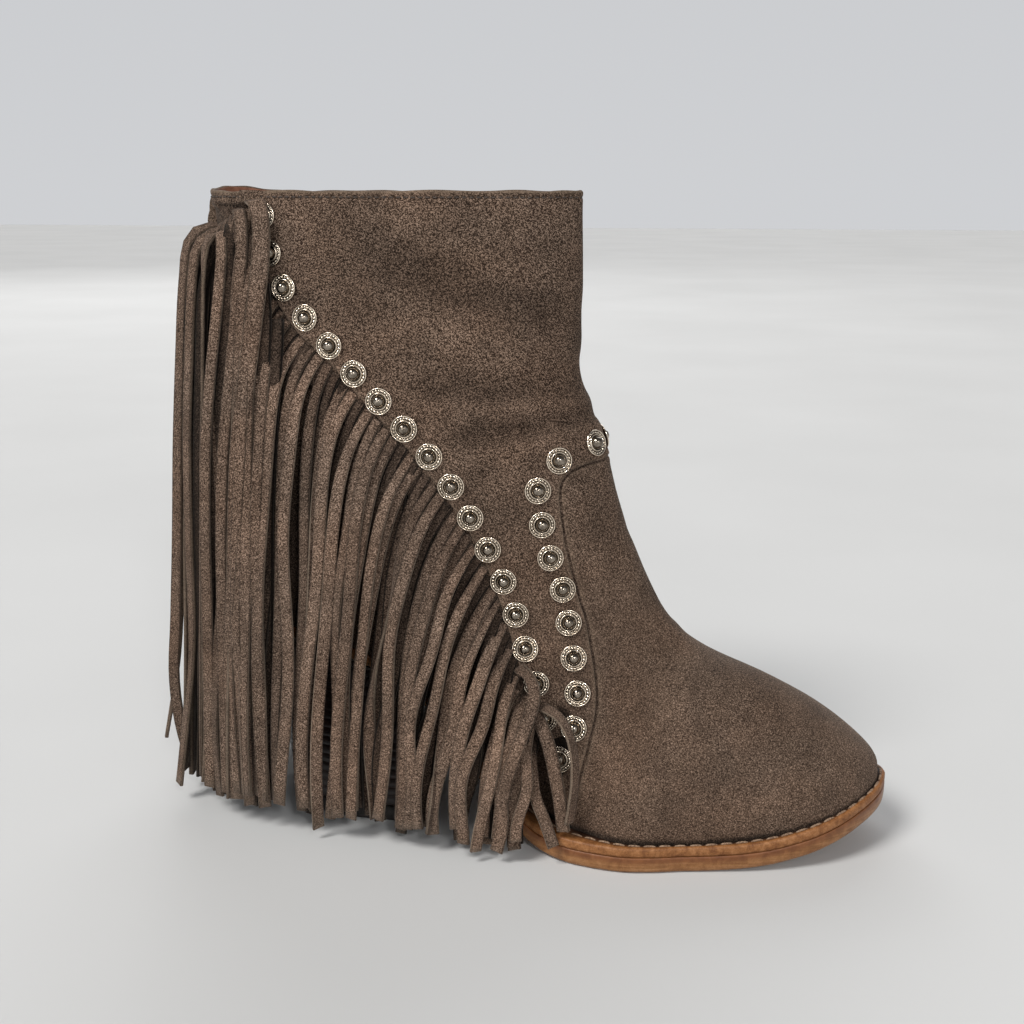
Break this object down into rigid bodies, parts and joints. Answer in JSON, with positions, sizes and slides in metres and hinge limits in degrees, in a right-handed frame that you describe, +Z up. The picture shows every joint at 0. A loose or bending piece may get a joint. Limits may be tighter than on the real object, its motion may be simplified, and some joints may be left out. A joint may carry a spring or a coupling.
{
  "type": "fringe ankle boot",
  "caption": "Suede ankle boot with a block heel, cut fringe hanging from diagonal seams on both sides, and rows of domed metal studs along the seams and over the instep.",
  "frame": {"origin": "centre of the boot's footprint box, on the floor under the heel and the ball", "axes": "+X from heel to toe, +Y to the inner side of this right boot, +Z up"},
  "size_m": [0.287, 0.1032, 0.232],
  "materials": {
    "suede": "napped taupe suede, matt",
    "fringe_suede": "cut suede strands, napped both sides, lighter cut edges",
    "insole_leather": "smooth tan lining leather",
    "sole_edge": "burnished tan edge, satin",
    "welt_leather": "tan welt with light stitches, satin",
    "heel_stack": "very dark brown stacked layers, satin",
    "lift_rubber": "dark rubber, matt",
    "stud_metal": "antiqued silver, bright on the raised parts"
  },
  "bodies": {
    "root": {"upper": "suede", "insole": "insole_leather", "outsole": "sole_edge", "welt": "welt_leather", "heel": "heel_stack", "top_lift": "lift_rubber", "fringe_lateral": "fringe_suede", "fringe_medial": "fringe_suede", "stud_diagonal_lateral_01": "stud_metal", "stud_diagonal_lateral_02": "stud_metal", "stud_diagonal_lateral_03": "stud_metal", "stud_diagonal_lateral_04": "stud_metal", "stud_diagonal_lateral_05": "stud_metal", "stud_diagonal_lateral_06": "stud_metal", "stud_diagonal_lateral_07": "stud_metal", "stud_diagonal_lateral_08": "stud_metal", "stud_diagonal_lateral_09": "stud_metal", "stud_diagonal_lateral_10": "stud_metal", "stud_diagonal_lateral_11": "stud_metal", "stud_diagonal_lateral_12": "stud_metal", "stud_diagonal_lateral_13": "stud_metal", "stud_diagonal_lateral_14": "stud_metal", "stud_diagonal_lateral_15": "stud_metal", "stud_diagonal_lateral_16": "stud_metal", "stud_diagonal_lateral_17": "stud_metal", "stud_harness_lateral_01": "stud_metal", "stud_harness_lateral_02": "stud_metal", "stud_harness_lateral_03": "stud_metal", "stud_harness_lateral_04": "stud_metal", "stud_harness_lateral_05": "stud_metal", "stud_harness_lateral_06": "stud_metal", "stud_harness_lateral_07": "stud_metal", "stud_harness_lateral_08": "stud_metal", "stud_harness_lateral_09": "stud_metal", "stud_harness_lateral_10": "stud_metal", "stud_harness_lateral_11": "stud_metal", "stud_diagonal_medial_01": "stud_metal", "stud_diagonal_medial_02": "stud_metal", "stud_diagonal_medial_03": "stud_metal", "stud_diagonal_medial_04": "stud_metal", "stud_diagonal_medial_05": "stud_metal", "stud_diagonal_medial_06": "stud_metal", "stud_diagonal_medial_07": "stud_metal", "stud_diagonal_medial_08": "stud_metal", "stud_diagonal_medial_09": "stud_metal", "stud_diagonal_medial_10": "stud_metal", "stud_diagonal_medial_11": "stud_metal", "stud_diagonal_medial_12": "stud_metal", "stud_diagonal_medial_13": "stud_metal", "stud_diagonal_medial_14": "stud_metal", "stud_diagonal_medial_15": "stud_metal", "stud_harness_medial_01": "stud_metal", "stud_harness_medial_02": "stud_metal", "stud_harness_medial_03": "stud_metal", "stud_harness_medial_04": "stud_metal", "stud_harness_medial_05": "stud_metal", "stud_harness_medial_06": "stud_metal", "stud_harness_medial_07": "stud_metal", "stud_harness_medial_08": "stud_metal", "stud_harness_medial_09": "stud_metal"}
  },
  "joints": []
}
